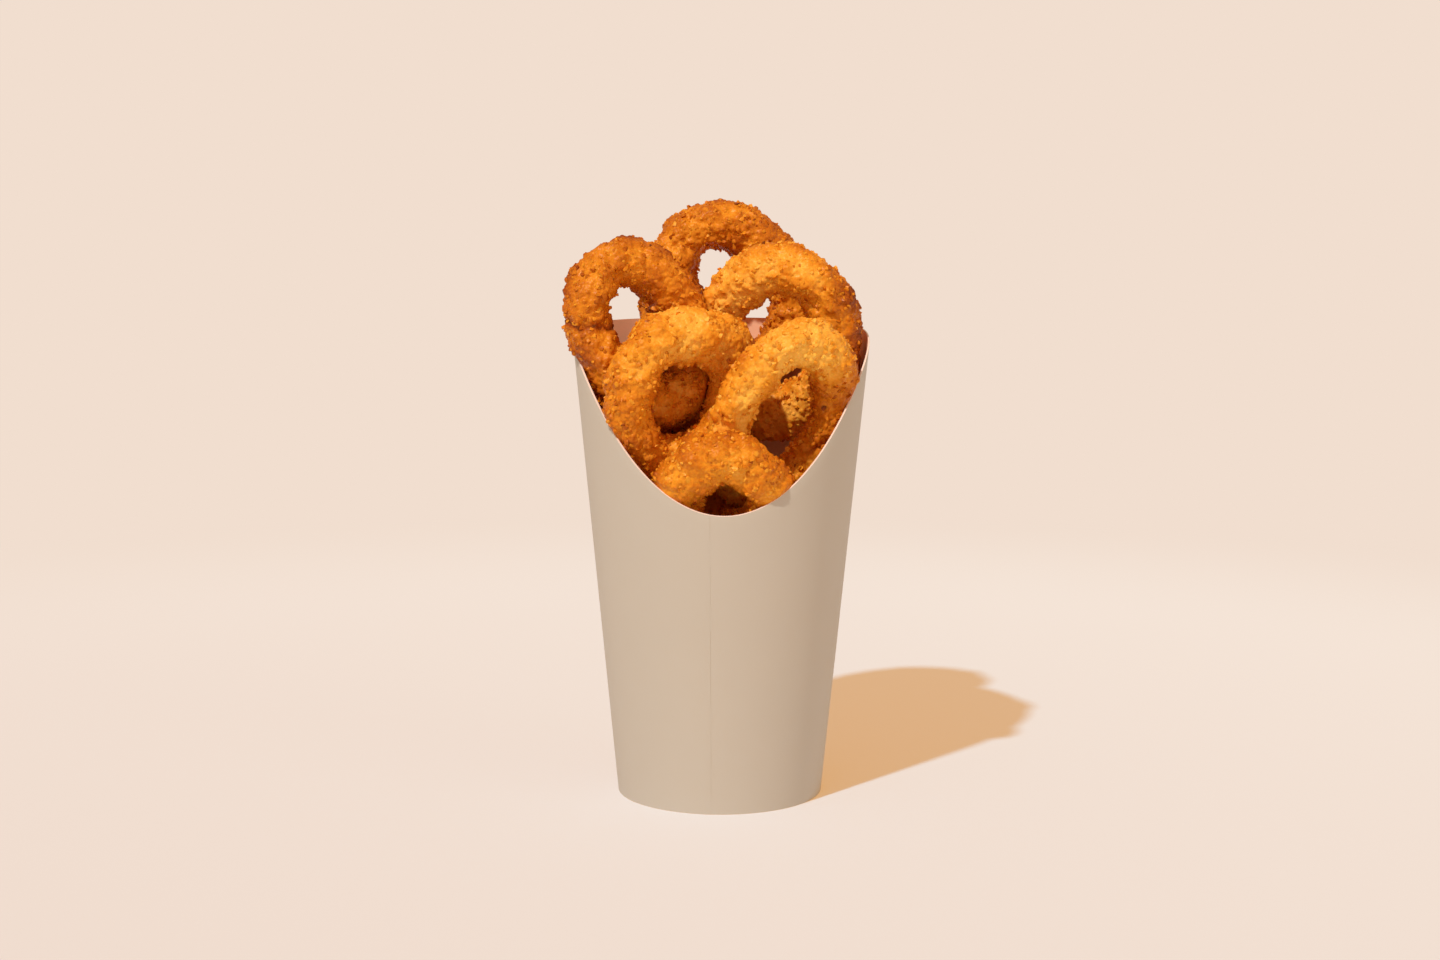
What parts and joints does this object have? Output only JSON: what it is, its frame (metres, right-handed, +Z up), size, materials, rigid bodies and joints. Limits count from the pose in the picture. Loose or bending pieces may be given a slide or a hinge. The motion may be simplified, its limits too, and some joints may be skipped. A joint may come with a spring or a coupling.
{
  "type": "onion rings side",
  "caption": "Crumbed onion rings standing in a plain paper scoop cup with a low open front and a high back.",
  "frame": {"origin": "on the table, under the middle of the whole outline as seen from above, about 1 mm from the axis of the cup", "axes": "+Z up along the cup, the low open front of the cup faces -Y, +X to the right as seen from the front"},
  "size_m": [0.0906, 0.0879, 0.178],
  "materials": {
    "paper_outside": "matt greige paperboard",
    "paper_lining": "satin pink lining",
    "crumb_crust": "golden fried crumb crust, slightly oily"
  },
  "bodies": {
    "root": {"cup_wall": "paper_outside", "cup_base": "paper_lining", "ring_front_low": "crumb_crust", "ring_front_right": "crumb_crust", "ring_front_left": "crumb_crust", "ring_left": "crumb_crust", "ring_right": "crumb_crust", "ring_back": "crumb_crust", "rings_below": "crumb_crust"}
  },
  "joints": []
}
